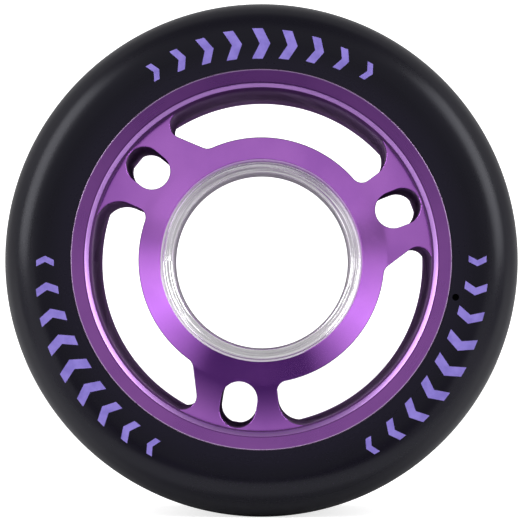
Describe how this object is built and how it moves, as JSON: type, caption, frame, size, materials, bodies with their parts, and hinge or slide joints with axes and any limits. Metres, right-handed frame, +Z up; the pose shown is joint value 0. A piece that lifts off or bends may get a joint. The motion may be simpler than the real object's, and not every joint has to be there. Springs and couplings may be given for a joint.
{
  "type": "roller skate wheel",
  "caption": "Small skate wheel: a black urethane tyre cast on a purple spoked aluminium hub, with an open bore and press-fit bearing seats on both faces.",
  "frame": {"origin": "middle of the wheel, on the axle line, halfway between the sidewalls", "axes": "+Y along the axle towards the back face, so the printed face looks towards -Y; +Z up; +X to the right of the printed face"},
  "size_m": [0.056, 0.032, 0.056],
  "materials": {
    "urethane": "satin black cast urethane",
    "anodised_aluminium": "satin purple anodised, bare metal in the bearing seats",
    "print_ink": "thin printed ink, lavender"
  },
  "bodies": {
    "root": {"tyre": "urethane", "hub": "anodised_aluminium"}
  },
  "joints": []
}
